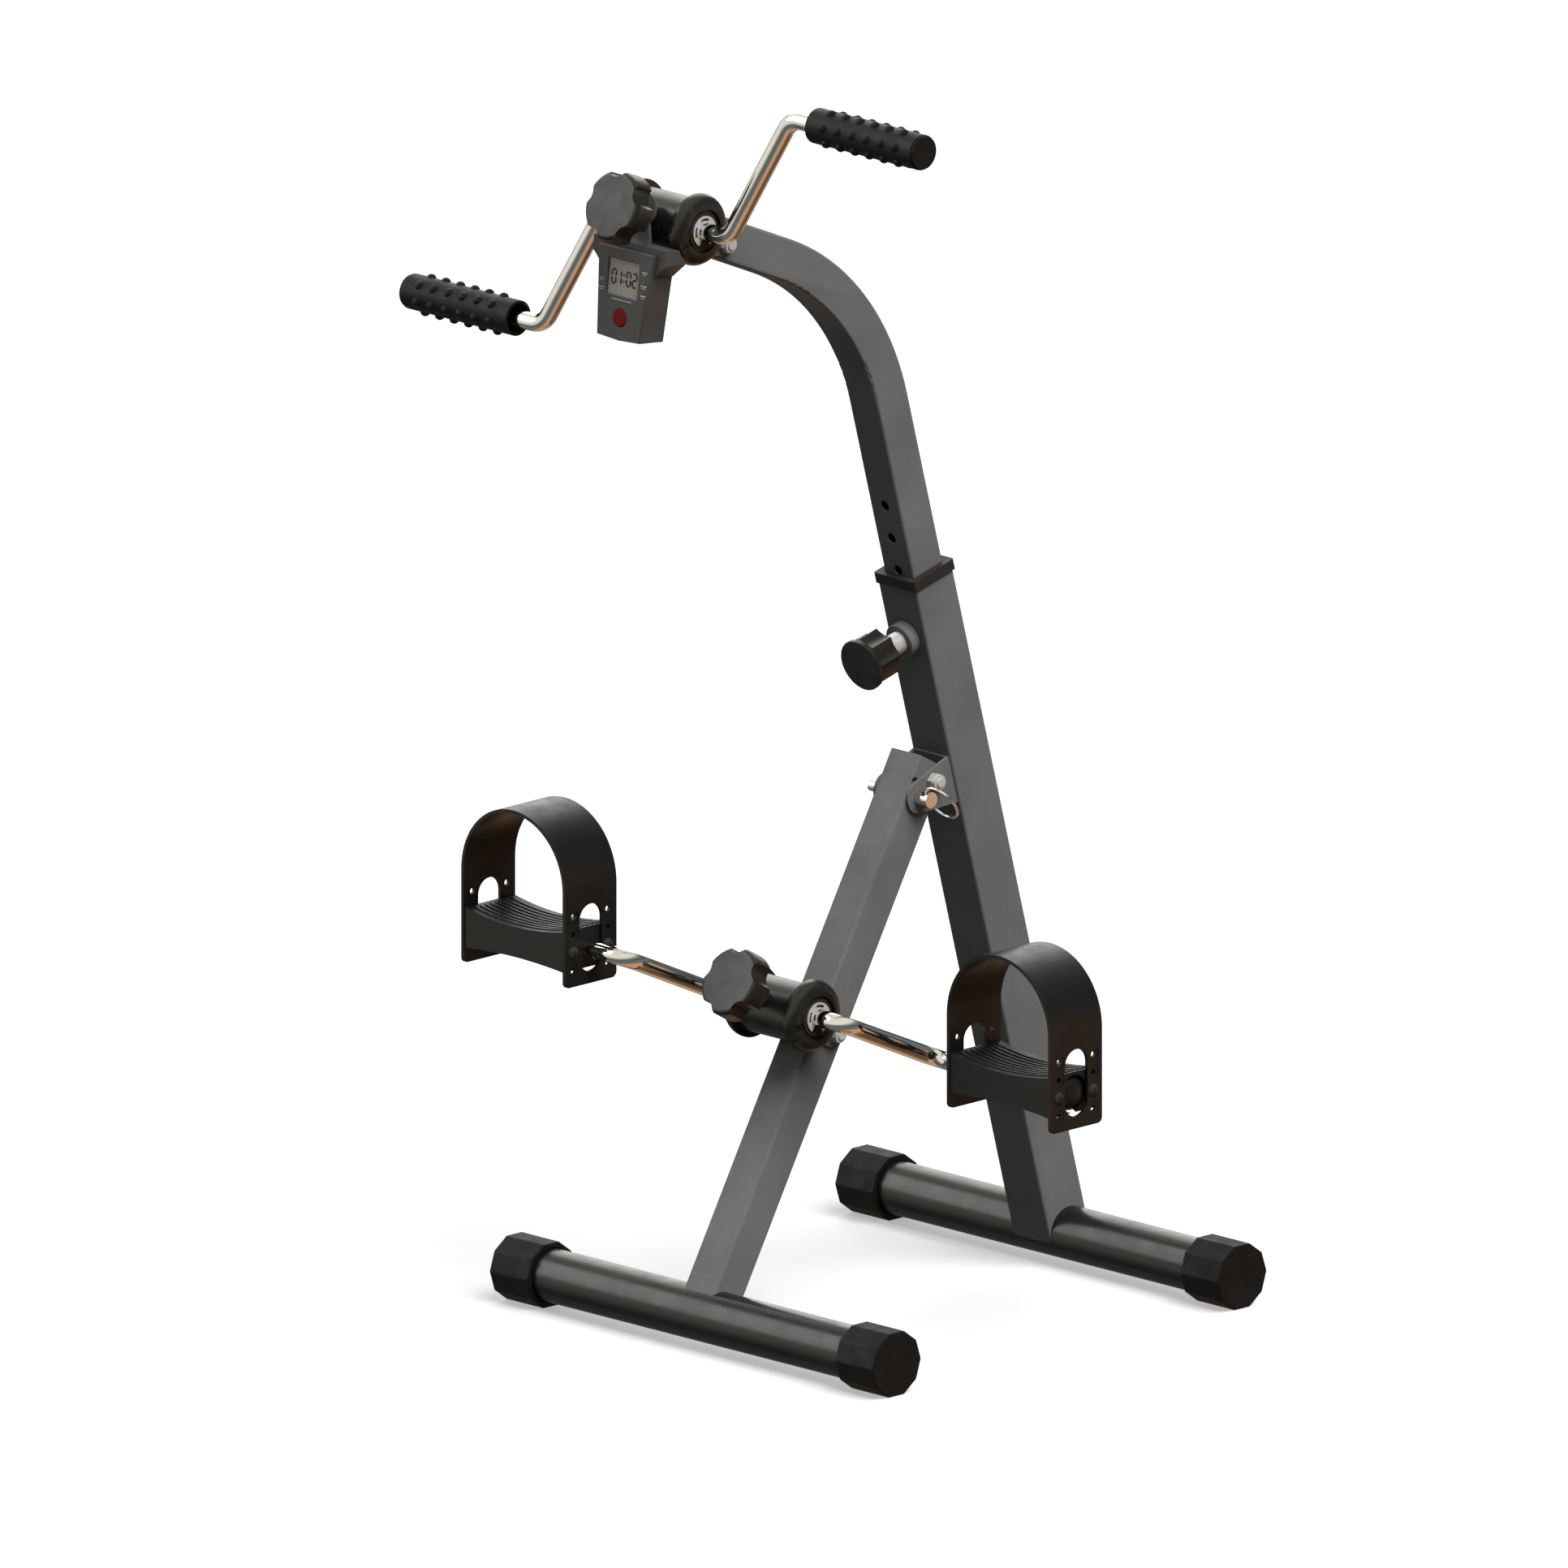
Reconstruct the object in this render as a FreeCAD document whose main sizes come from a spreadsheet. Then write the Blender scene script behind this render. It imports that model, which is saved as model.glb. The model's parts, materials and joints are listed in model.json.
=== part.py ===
import FreeCAD, Part
import Sketcher
import math
import os
import re
from types import SimpleNamespace
from FreeCAD import Placement, Rotation, Vector

# Folding pedal exerciser: an A-frame of a rear post and a hinged front leg on two floor tubes, a foot
# crank with two pedals on the leg, and a hand crank with a monitor on a mast that slides in the post.
# X runs along the floor tubes, +Y to the back, +Z up. The floor is Z 0.

os.makedirs("parts", exist_ok=True)
doc = FreeCAD.newDocument("PedalExerciser")

# ---------------------------------------------------------------- driving dimensions (mm, degrees)
SIZES = {
    "front_tube_y": -155.0, "tube_spacing": 401.5, "tube_height": 27.1,
    "base_tube_radius": 22.5, "base_tube_wall": 2.0, "base_width": 450.0,
    "cap_circumradius": 28.5, "cap_length": 44.5, "cap_end": 4.0,
    "post_lean": 15.0, "post_width": 45.0, "post_length": 607.0,
    "leg_lean": 30.0, "leg_width": 35.0, "leg_length": 496.0,
    "wall": 2.0, "corner": 2.3,
    "collar_width": 48.0, "collar_lip": 9.5, "collar_sleeve": 30.0, "slide_gap": 0.3,
    "mast_width": 35.0, "mast_bottom": 430.0, "mast_bend_radius": 220.0, "mast_rise": 23.5,
    "mast_lift": 0.75, "mast_end": 28.8,
    "index_hole": 4.75, "index_pitch": 30.0, "index_first": 500.0, "stud_along": 560.5,
    "stud_radius": 9.5, "stud_fit": 9.55, "boss_radius": 15.0, "boss_length": 10.0,
    "grip_knob_radius": 22.0, "grip_knob_length": 24.0, "grip_knob_disc": 22.5, "disc_thick": 4.0,
    "grip_knob_gap": 29.0, "flute_radius": 19.5, "flute_place": 37.9,
    "bolt_radius": 4.0, "bolt_fit": 4.05, "nut_flats": 7.5, "nut_length": 8.0, "head_height": 5.3,
    "ear_gap": 17.7, "ear_thick": 2.8, "ear_nose": 14.0, "web_thick": 2.0,
    "bracket_low": 411.0, "bracket_high": 453.5,
    "pivot_forward": 44.15, "pivot_along": 440.8, "pin_forward": 17.8, "pin_below": 6.6,
    "pin_radius": 5.0, "pin_fit": 5.08, "pin_waist": 3.0, "pin_head": 6.75, "pin_head_length": 13.0,
    "pin_tip_length": 38.0, "ring_radius": 16.5, "ring_wire": 1.2, "ring_hole": 3.0,
    "hub_radius": 25.0, "hub_bore": 21.0, "hub_half": 33.3, "hub_boss": 7.5, "hub_boss_end": 42.0,
    "rim_radius": 30.5, "rim_start": 32.3, "rim_end": 44.0, "rim_soft": 10.5, "rim_recess": 18.3,
    "rim_web": 7.7, "key_slot_width": 6.0, "key_slot_reach": 28.0,
    "bush_radius": 12.0, "bush_flange": 16.0, "bush_lip": 1.5, "bush_inside": 8.0, "end_play": 0.3,
    "rod_radius": 7.5, "rod_fit": 7.55,
    "washer_radius": 13.0, "washer_thick": 1.0, "washer_slot_inner": 8.9, "washer_slot_outer": 11.1,
    "saddle_thick": 3.0, "saddle_nose": 12.0, "hub_offset": 45.9,
    "lower_bolt_y": 48.0, "lower_bolt_drop": 1.5, "upper_bolt_y": 51.0, "upper_bolt_drop": 4.3,
    "knob_radius": 29.8, "knob_thick": 20.0, "knob_round": 4.5, "scallop_radius": 11.0,
    "scallop_place": 35.0, "knob_stem_radius": 6.0,
    "knob_face": 71.5, "screw_short": 8.0, "screw_radius": 4.0, "screw_fit": 4.05, "shoe_gap": 1.0,
    "leg_hub_along": 256.9, "upper_hub_y": -43.7, "upper_hub_z": 942.2, "hub_rise": 22.0,
    "hand_offset": 115.5, "hand_splay": 57.5, "hand_corner": 72.0, "hand_bend": 22.0,
    "hand_rod_end": 292.0,
    "grip_start": 176.0, "grip_end": 299.0, "grip_radius": 15.0, "grip_bump": 4.3,
    "foot_offset": 115.5, "foot_drop": 24.6, "foot_corner": 74.5, "foot_bend": 17.5,
    "pedal_inner": 118.0, "pedal_outer": 240.0, "strap_width": 60.0, "strap_thick": 3.0,
    "strap_bottom": 29.0, "strap_top": 112.6, "slot_width": 26.0, "slot_low": 18.8,
    "slot_high": 38.8, "row_pitch": 15.4, "column_offset": 20.0, "ring_recess": 5.9,
    "block_depth": 58.0, "block_height": 34.8, "block_rise": 1.5, "block_sag": 6.0, "under_sag": 3.0,
    "ridge_pitch": 6.0, "ridge_width": 2.6, "pilot_radius": 2.2, "pilot_depth": 11.0,
    "case_top_width": 62.0, "case_bottom_width": 50.0, "case_height": 77.0, "case_depth": 28.0,
    "case_tilt": 6.5, "case_y": -93.0, "case_z": 928.0, "lcd_width": 35.5, "lcd_height": 30.0,
    "button_radius": 7.1, "holder_y": 5.6, "tongue_thick": 3.0,
}
sheet = doc.addObject("Spreadsheet::Sheet", "dims")
for row, (alias, value) in enumerate(SIZES.items(), 1):
    sheet.set("A%d" % row, alias)
    sheet.set("B%d" % row, str(value))
    sheet.setAlias("B%d" % row, alias)
doc.recompute()
d = SimpleNamespace(**SIZES)

X_AXIS = Vector(1, 0, 0)
THROUGH = 60.0
NO_TURN = Rotation()
ALONG_X = Rotation(Vector(0, 1, 0), 90)
ALONG_FRONT = Rotation(X_AXIS, 90)


# ---------------------------------------------------------------- building helpers
def rule(text):
    """Turn a size written with plain aliases into an expression on the sheet."""
    return re.sub(r"[a-z][a-z_]+", lambda word: "dims." + word.group(0), text)


def primitive(kind, name, place=Vector(), turn=NO_TURN, **sizes):
    """Add a Part primitive whose sizes follow the sheet."""
    item = doc.addObject("Part::" + kind, name)
    for size_name, text in sizes.items():
        item.setExpression(size_name, rule(text))
    item.Placement = Placement(Vector(*place), turn)
    return item


def rod(name, radius, length, start, turn=ALONG_X):
    """A round bar from start, along +X unless turned."""
    return primitive("Cylinder", name, start, turn, Radius=radius, Height=length)


def cross_bar(name, radius, y, z):
    """A round bar along X, long enough to cut right through the frame at (y, z)."""
    return rod(name, radius, str(THROUGH), (-THROUGH / 2, y, z))


def block(name, length, width, height, corner_at):
    return primitive("Box", name, corner_at, Length=length, Width=width, Height=height)


def cut(name, base, *tools):
    item = doc.addObject("Part::Cut", name)
    item.Base = base
    item.Tool = tools[0] if len(tools) == 1 else fuse(name + "_tools", *tools)
    return item


def fuse(name, *items):
    item = doc.addObject("Part::MultiFuse", name)
    item.Shapes = list(items)
    return item


def common(name, *items):
    item = doc.addObject("Part::MultiCommon", name)
    item.Shapes = list(items)
    return item


def rounded(name, base, radius, wanted):
    """Fillet the edges of base that wanted picks."""
    doc.recompute()
    item = doc.addObject("Part::Fillet", name)
    item.Base = base
    picked = [n for n, edge in enumerate(base.Shape.Edges, 1) if wanted(edge)]
    item.Edges = [(n, radius, radius) for n in picked]
    return item


def upright(edge):
    ends = [vertex.Point for vertex in edge.Vertexes]
    return len(ends) == 2 and math.hypot(ends[0].x - ends[1].x, ends[0].y - ends[1].y) < 1e-6


def square_bar(name, width, length, low, radius=d.corner):
    """A square bar with rounded corners standing on z = low."""
    half = rule(width)
    bar = block(name + "_box", width, width, length, (0, 0, low))
    bar.setExpression("Placement.Base.x", "-(%s) / 2" % half)
    bar.setExpression("Placement.Base.y", "-(%s) / 2" % half)
    return rounded(name, bar, radius, upright)


def square_tube(name, width, length, low):
    outer = square_bar(name + "_outer", width, length, low)
    inner = square_bar(name + "_inner", width + " - 2 * wall", length + " + 2", low - 1, 0.6)
    return cut(name, outer, inner)


def hexagon(name, flats_radius, length, start):
    """A hexagon prism along +X, with its corners at flats_radius."""
    prism = primitive("Prism", name, start, ALONG_X, Circumradius=flats_radius, Height=length)
    prism.Polygon = 6
    return prism


def polygon_plate(name, points, thick, start):
    """A plate whose outline, in the Y-Z plane, is pulled along +X from x = start."""
    sketch = doc.addObject("Sketcher::SketchObject", name + "_outline")
    sketch.Placement = Placement(Vector(start, 0, 0), Rotation(Vector(1, 1, 1), 120))
    count = len(points)
    for n, point in enumerate(points):
        after = points[(n + 1) % count]
        sketch.addGeometry(Part.LineSegment(Vector(*point, 0), Vector(*after, 0)))
    for n in range(count):
        sketch.addConstraint(Sketcher.Constraint("Coincident", n, 2, (n + 1) % count, 1))
    plate = doc.addObject("Part::Extrusion", name)
    plate.Base = sketch
    plate.DirMode = "Normal"
    plate.Solid = True
    plate.setExpression("LengthFwd", rule(thick))
    return plate


def finish(item, label, frame=None):
    """Give a finished sub-part its label and put it in its frame."""
    item.Label = label
    if frame is not None:
        item.Placement = frame
    finished.append(item)
    return item


def bent_path(points, bend_radius):
    """Lines and tangent arcs through points, as a wire."""
    edges = []
    start = Vector(*points[0])
    for before, here, after in zip(points, points[1:], points[2:]):
        before, here, after = Vector(*before), Vector(*here), Vector(*after)
        back = (before - here).normalize()
        ahead = (after - here).normalize()
        half = back.getAngle(ahead) / 2
        reach = bend_radius / math.tan(half)
        middle_way = (back + ahead).normalize()
        bend_in = here + back * reach
        bend_out = here + ahead * reach
        middle = here + middle_way * (bend_radius / math.sin(half) - bend_radius)
        edges.append(Part.LineSegment(start, bend_in).toShape())
        edges.append(Part.Arc(bend_in, middle, bend_out).toShape())
        start = bend_out
    edges.append(Part.LineSegment(start, Vector(*points[-1])).toShape())
    return Part.Wire(edges)


def swept(name, spine, profile_wire):
    """A solid swept along a bent wire; no primitive makes this bend with these straight ends."""
    item = doc.addObject("Part::Feature", name)
    item.Shape = spine.makePipeShell([profile_wire], True, False)
    return item


finished = []
REAR_Y = d.front_tube_y + d.tube_spacing
POST = Placement(Vector(0, REAR_Y, d.tube_height), Rotation(X_AXIS, d.post_lean))
LEG = Placement(Vector(0, d.front_tube_y, d.tube_height), Rotation(X_AXIS, -d.leg_lean))
LOWER_HUB = LEG.multiply(Placement(Vector(0, -d.hub_offset, d.leg_hub_along), NO_TURN))
UPPER_HUB = Placement(Vector(0, d.front_tube_y + d.upper_hub_y, d.tube_height + d.upper_hub_z),
                      Rotation(X_AXIS, -d.hub_rise))


# ---------------------------------------------------------------- floor tubes and end caps
def base_tube(label, y):
    half = d.base_width / 2 - d.cap_end
    outer = rod(label + "_outer", "base_tube_radius", "base_width - 2 * cap_end", (-half, 0, 0))
    inner = rod(label + "_inner", "base_tube_radius - base_tube_wall", "base_width", (-half - 1, 0, 0))
    finish(cut(label + "_tube", outer, inner), label, Placement(Vector(0, y, d.tube_height), NO_TURN))


def end_cap(label, y, side):
    """A ten-sided rubber cap, closed at the outer end."""
    flat_down = ALONG_X.multiply(Rotation(Vector(0, 0, 1), 18))
    start = d.base_width / 2 - d.cap_length
    prism = primitive("Prism", label + "_prism", (start, 0, 0), flat_down,
                      Circumradius="cap_circumradius", Height="cap_length")
    prism.Polygon = 10
    socket = rod(label + "_socket", "base_tube_radius", "cap_length - cap_end + 1", (start - 1, 0, 0))
    turn = NO_TURN if side > 0 else Rotation(Vector(0, 0, 1), 180)
    finish(cut(label + "_cap", prism, socket), label, Placement(Vector(0, y, d.tube_height), turn))


for end_name, tube_y in (("front", d.front_tube_y), ("rear", REAR_Y)):
    base_tube(end_name + "_base_tube", tube_y)
    for side_name, side in (("left", -1), ("right", 1)):
        end_cap("%s_%s_end_cap" % (end_name, side_name), tube_y, side)

# ---------------------------------------------------------------- rear post, collar and boss
HALF_POST = d.post_width / 2
post_tube = square_tube("post_tube", "post_width", "post_length", 0)
post_saddle = cross_bar("post_saddle", "base_tube_radius", 0, 0)
stud_hole = rod("stud_hole", "stud_fit", "6", (0, -HALF_POST + 4, d.stud_along), ALONG_FRONT)
finish(cut("rear_post", post_tube, post_saddle, stud_hole), "rear_post", POST)

boss_blank = rod("boss_blank", "boss_radius", "boss_length", (0, -HALF_POST, d.stud_along), ALONG_FRONT)
boss_bore = rod("boss_bore", "stud_fit", "boss_length + 2", (0, -HALF_POST + 1, d.stud_along), ALONG_FRONT)
finish(cut("height_boss", boss_blank, boss_bore), "height_boss", POST)

lip = square_bar("collar_lip_bar", "collar_width", "collar_lip", d.post_length, 2.0)
sleeve = square_bar("collar_sleeve_bar", "post_width - 2 * wall", "collar_sleeve + 1",
                    d.post_length - d.collar_sleeve, 0.6)
passage = square_bar("collar_passage", "mast_width + 2 * slide_gap", "collar_lip + collar_sleeve + 2",
                     d.post_length - d.collar_sleeve - 1, 1.8)
finish(cut("post_collar", fuse("collar_solid", lip, sleeve), passage), "post_collar", POST)

# ---------------------------------------------------------------- hinge bracket on the post
# The pin sits below and in front of the pivot; all three places are in the post's own frame.
PIVOT = Vector(0, -d.pivot_forward, d.pivot_along)
PIN = PIVOT + Vector(0, -d.pin_forward, -d.pin_below)
FACE = -HALF_POST


def ear(name, start):
    """A tapered ear with a round nose about the pin."""
    nose_top = (PIN.y - 3.0, PIN.z + d.ear_nose - 0.35)
    nose_low = (PIN.y - 2.5, PIN.z - d.ear_nose + 0.25)
    outline = [(FACE, d.bracket_high), nose_top, nose_low, (FACE, d.bracket_low)]
    plate = polygon_plate(name + "_plate", outline, "ear_thick", start)
    round_nose = rod(name + "_nose", "ear_nose", "ear_thick", (start, PIN.y, PIN.z))
    return fuse(name, plate, round_nose)


web = block("bracket_web", "2 * (ear_gap + ear_thick)", "web_thick", "bracket_high - bracket_low",
            (-d.ear_gap - d.ear_thick, FACE - d.web_thick, d.bracket_low))
bracket = fuse("bracket_solid", ear("left_ear", -d.ear_gap - d.ear_thick), ear("right_ear", d.ear_gap), web)
pivot_hole = cross_bar("pivot_hole", "bolt_radius", PIVOT.y, PIVOT.z)
pin_hole = cross_bar("pin_hole", "pin_fit", PIN.y, PIN.z)
finish(cut("hinge_bracket", bracket, pivot_hole, pin_hole), "hinge_bracket", POST)


# ---------------------------------------------------------------- bolts and nuts
def cross_bolt(label, y, z, ear_out, frame):
    """A hexagon bolt along X with its head on the left."""
    shank = rod(label + "_shank", "bolt_radius", "%s + nut_length + 1.5" % (2 * ear_out + 0.1),
                (-ear_out - 0.1, y, z))
    head = hexagon(label + "_head", "nut_flats", "head_height", (-ear_out - d.head_height, y, z))
    finish(fuse(label, shank, head), label, frame)


def cross_nut(label, y, z, ear_out, frame):
    """A lock nut with a round nylon collar on its outer end."""
    hexa = hexagon(label + "_hexagon", "nut_flats", "nut_length - 2.2", (ear_out, y, z))
    collar = rod(label + "_collar", "nut_flats - 1.1", "nut_length", (ear_out, y, z))
    bore = rod(label + "_bore", "bolt_radius", "nut_length + 2", (ear_out - 1, y, z))
    finish(cut(label, fuse(label + "_solid", hexa, collar), bore), label, frame)


EAR_OUT = d.ear_gap + d.ear_thick
cross_bolt("hinge_bolt", PIVOT.y, PIVOT.z, EAR_OUT, POST)
cross_nut("hinge_nut", PIVOT.y, PIVOT.z, EAR_OUT, POST)

# ---------------------------------------------------------------- front leg
# The leg turns about the hinge bolt. Its side walls have a round hole for the lock pin and, from it, an
# arc channel that lets the pin's waist pass as the leg folds.
TO_LEG = LEG.inverse().multiply(POST)
leg_pivot = TO_LEG.multVec(PIVOT)
leg_pin = TO_LEG.multVec(PIN)
PIN_ARC = math.hypot(leg_pin.y - leg_pivot.y, leg_pin.z - leg_pivot.z)
REST_ANGLE = math.degrees(math.atan2(leg_pin.z - leg_pivot.z, leg_pin.y - leg_pivot.y))
FOLD_ANGLE = 45.0
CHANNEL = d.pin_waist + 0.3


def arc_sector(name, radius):
    """A wedge of a cylinder along X about the pivot, from the pin's place through the whole fold."""
    turn = Rotation(X_AXIS, REST_ANGLE - FOLD_ANGLE).multiply(Rotation(Vector(1, 1, 1), 120))
    item = primitive("Cylinder", name, (-THROUGH / 2, leg_pivot.y, leg_pivot.z), turn, Height=str(THROUGH))
    item.Radius = radius
    item.Angle = FOLD_ANGLE
    return item


leg_tube = square_tube("leg_tube", "leg_width", "leg_length - 10", 10)
leg_saddle = cross_bar("leg_saddle", "base_tube_radius", 0, 0)
leg_pivot_hole = cross_bar("leg_pivot_hole", "bolt_fit", leg_pivot.y, leg_pivot.z)
leg_pin_hole = cross_bar("leg_pin_hole", "pin_radius + slide_gap", leg_pin.y, leg_pin.z)
channel = cut("pin_channel", arc_sector("channel_outer", PIN_ARC + CHANNEL),
              arc_sector("channel_inner", PIN_ARC - CHANNEL))
end_angle = math.radians(REST_ANGLE - FOLD_ANGLE)
channel_end = cross_bar("channel_end", "pin_waist + slide_gap", leg_pivot.y + PIN_ARC * math.cos(end_angle),
                        leg_pivot.z + PIN_ARC * math.sin(end_angle))
corner_block = block("leg_corner_block", str(THROUGH), "30", "30",
                     (-THROUGH / 2, leg_pivot.y, leg_pivot.z))
corner_round = cross_bar("leg_corner_round", "pivot_forward - post_width / 2 - web_thick - slide_gap",
                         leg_pivot.y, leg_pivot.z)
corner_waste = cut("leg_corner_waste", corner_block, corner_round)
leg_hub_hole = cross_bar("leg_hub_hole", "bolt_radius", d.lower_bolt_y - d.hub_offset,
                         d.leg_hub_along - d.lower_bolt_drop)
finish(cut("front_leg", leg_tube, leg_saddle, leg_pivot_hole, leg_pin_hole, channel, channel_end,
           corner_waste, leg_hub_hole), "front_leg", LEG)

# ---------------------------------------------------------------- mast with its bend, and the glide plug
# The mast's upper run rises a little more steeply than the hub's own Y axis.
TO_POST = POST.inverse().multiply(UPPER_HUB)
RUN = POST.inverse().multiply(Placement(UPPER_HUB.Base, Rotation(X_AXIS, -d.mast_rise)))
mast_end = RUN.multVec(Vector(0, d.mast_end, d.mast_lift))
run_back = RUN.Rotation.multVec(Vector(0, 1, 0))
mast_corner = mast_end - run_back * (mast_end.y / run_back.y)
mast_path = [(0, 0, d.mast_bottom), tuple(mast_corner), tuple(mast_end)]


def square_wire(width, radius, z):
    """A rounded square outline about the post axis."""
    half = width / 2
    plane = Part.makePlane(width, width, Vector(-half, -half, z))
    prism = plane.extrude(Vector(0, 0, 1))
    corners = [edge for edge in prism.Edges if upright(edge)]
    base = prism.makeFillet(radius, corners)
    return [face for face in base.Faces if abs(face.CenterOfMass.z - z) < 1e-6][0].OuterWire


mast_outer = swept("mast_outer", bent_path(mast_path, d.mast_bend_radius),
                   square_wire(d.mast_width, d.corner, d.mast_bottom))
mast_inner = swept("mast_inner", bent_path(mast_path, d.mast_bend_radius),
                   square_wire(d.mast_width - 2 * d.wall, 0.6, d.mast_bottom))
index_holes = []
for n in range(7):
    along = d.index_first + n * d.index_pitch
    index_holes.append(rod("index_hole_%d" % n, "index_hole", "6", (0, -d.mast_width / 2 + 4, along),
                           ALONG_FRONT))
mast_bolt = TO_POST.multVec(Vector(0, d.upper_bolt_y, -d.upper_bolt_drop))
mast_bolt_hole = cross_bar("mast_bolt_hole", "bolt_radius", mast_bolt.y, mast_bolt.z)
finish(cut("mast_tube", mast_outer, mast_inner, mast_bolt_hole, *index_holes), "mast_tube", POST)

plug_head = square_bar("plug_head", "post_width - 2 * wall - 2 * slide_gap", "12", d.mast_bottom - 12, 1.0)
plug_core = square_bar("plug_core", "mast_width - 2 * wall", "18", d.mast_bottom - 1, 0.6)
finish(fuse("mast_glide_plug", plug_head, plug_core), "mast_glide_plug", POST)

# ---------------------------------------------------------------- height knob and its stud
stud_body = rod("stud_body", "stud_radius", "49.2", (0, -HALF_POST + 1.7, d.stud_along), ALONG_FRONT)
stud_nose = rod("stud_nose", "index_hole - 0.35", "4", (0, -HALF_POST + 4.7, d.stud_along), ALONG_FRONT)
finish(fuse("height_stud", stud_body, stud_nose), "height_stud", POST)

knob_start = -HALF_POST - d.grip_knob_gap
barrel = rod("barrel", "grip_knob_radius", "grip_knob_length", (0, knob_start, d.stud_along), ALONG_FRONT)
disc = rod("disc", "grip_knob_disc", "disc_thick", (0, knob_start - d.grip_knob_length + 0.5, d.stud_along),
           ALONG_FRONT)
FLUTES = 8
flute_cuts = []
for n in range(FLUTES):
    angle = math.radians(27.5 + n * 360 / FLUTES)
    centre = (d.flute_place * math.cos(angle), knob_start + 1,
              d.stud_along + d.flute_place * math.sin(angle))
    flute_cuts.append(rod("flute_%d" % n, "flute_radius", "grip_knob_length + 0.5", centre, ALONG_FRONT))
stud_socket = rod("stud_socket", "stud_fit", "20.8", (0, knob_start + 1, d.stud_along), ALONG_FRONT)
fluted = cut("fluted_barrel", barrel, *flute_cuts)
finish(cut("height_knob", fuse("height_knob_solid", fluted, disc), stud_socket), "height_knob", POST)

# ---------------------------------------------------------------- lock pin and its pull ring
# The pin is thinner inside the leg. Its head has a cross hole that the ring hangs in.
tail = rod("pin_tail", "pin_radius", "pin_tip_length - ear_gap - 1.4",
           (-d.pin_tip_length + 1.5, PIN.y, PIN.z))
tip = primitive("Cone", "pin_tip", (-d.pin_tip_length, PIN.y, PIN.z), ALONG_X,
                Radius1="pin_radius - 1.5", Radius2="pin_radius", Height="1.5")
waist = rod("pin_waist_bar", "pin_waist", "2 * ear_gap", (-d.ear_gap, PIN.y, PIN.z))
shoulder = rod("pin_shoulder", "pin_radius", "ear_thick + 0.8", (d.ear_gap - 0.1, PIN.y, PIN.z))
head = rod("pin_head_bar", "pin_head", "pin_head_length", (EAR_OUT + 0.5, PIN.y, PIN.z))
HOLE_X = EAR_OUT + 8.5
RING_LEAN = 18.7
ring_turn = Rotation(X_AXIS, RING_LEAN)
cross_hole = primitive("Cylinder", "pin_cross_hole", Vector(HOLE_X, PIN.y, PIN.z)
                       - ring_turn.multVec(Vector(0, 0, 10)), ring_turn, Radius="ring_hole", Height="20")
pin_solid = fuse("pin_solid", tail, tip, waist, shoulder, head)
finish(cut("lock_pin", pin_solid, cross_hole), "lock_pin", POST)

ring = primitive("Torus", "ring_torus", (HOLE_X + d.ring_radius, PIN.y, PIN.z),
                 ring_turn.multiply(Rotation(X_AXIS, 90)), Radius1="ring_radius", Radius2="ring_wire")
ring_holder = doc.addObject("Part::Compound", "ring_holder")
ring_holder.Links = [ring]
finish(ring_holder, "pin_ring", POST)


# ---------------------------------------------------------------- crank hubs
# In a hub's frame X is the crank axis, the tension knob is on the -Y side and the frame tube on +Y.
# Turns about the crank axis are in degrees from +Y towards +Z; the key slot's is from -Y, downwards.
KEY_SLOT_TURN = 42
CLIP_MOUTH = 290


def hub_housing(label, frame):
    shell = rod(label + "_shell", "hub_radius", "2 * hub_half", (-d.hub_half, 0, 0))
    boss = rod(label + "_boss", "hub_boss", "hub_boss_end - hub_bore", (0, -d.hub_bore, 0), ALONG_FRONT)
    bore = rod(label + "_bore", "hub_bore", "2 * hub_half + 2", (-d.hub_half - 1, 0, 0))
    screw_hole = rod(label + "_screw_hole", "screw_fit", "hub_boss_end", (0, -10, 0), ALONG_FRONT)
    finish(cut(label, fuse(label + "_solid", shell, boss), bore, screw_hole), label, frame)


def end_ring(label, frame, side):
    """The rounded end ring, with a shallow recess and a key slot that runs out over its rounded rim."""
    floor_x = d.hub_half + d.rim_web
    blank = rod(label + "_blank", "rim_radius", "rim_end - rim_start", (d.rim_start, 0, 0))
    soft = rounded(label + "_soft", blank, d.rim_soft,
                   lambda edge: edge.Length > 150 and edge.CenterOfMass.x > d.rim_end - 1)
    seat = rod(label + "_seat", "hub_radius", "hub_half - rim_start + 1", (d.rim_start - 1, 0, 0))
    recess = rod(label + "_recess", "rim_recess", "rim_end", (floor_x, 0, 0))
    bore = rod(label + "_bore", "bush_radius", "rim_end", (d.rim_start, 0, 0))
    slot = block(label + "_key_slot", "rim_end", "key_slot_reach", "key_slot_width",
                 (floor_x, -d.key_slot_reach, -d.key_slot_width / 2))
    slot.Placement = Placement(Vector(), Rotation(X_AXIS, KEY_SLOT_TURN)).multiply(slot.Placement)
    mirror = NO_TURN if side > 0 else Rotation(Vector(0, 0, 1), 180)
    finish(cut(label, soft, seat, recess, bore, slot), label, frame.multiply(Placement(Vector(), mirror)))


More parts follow.
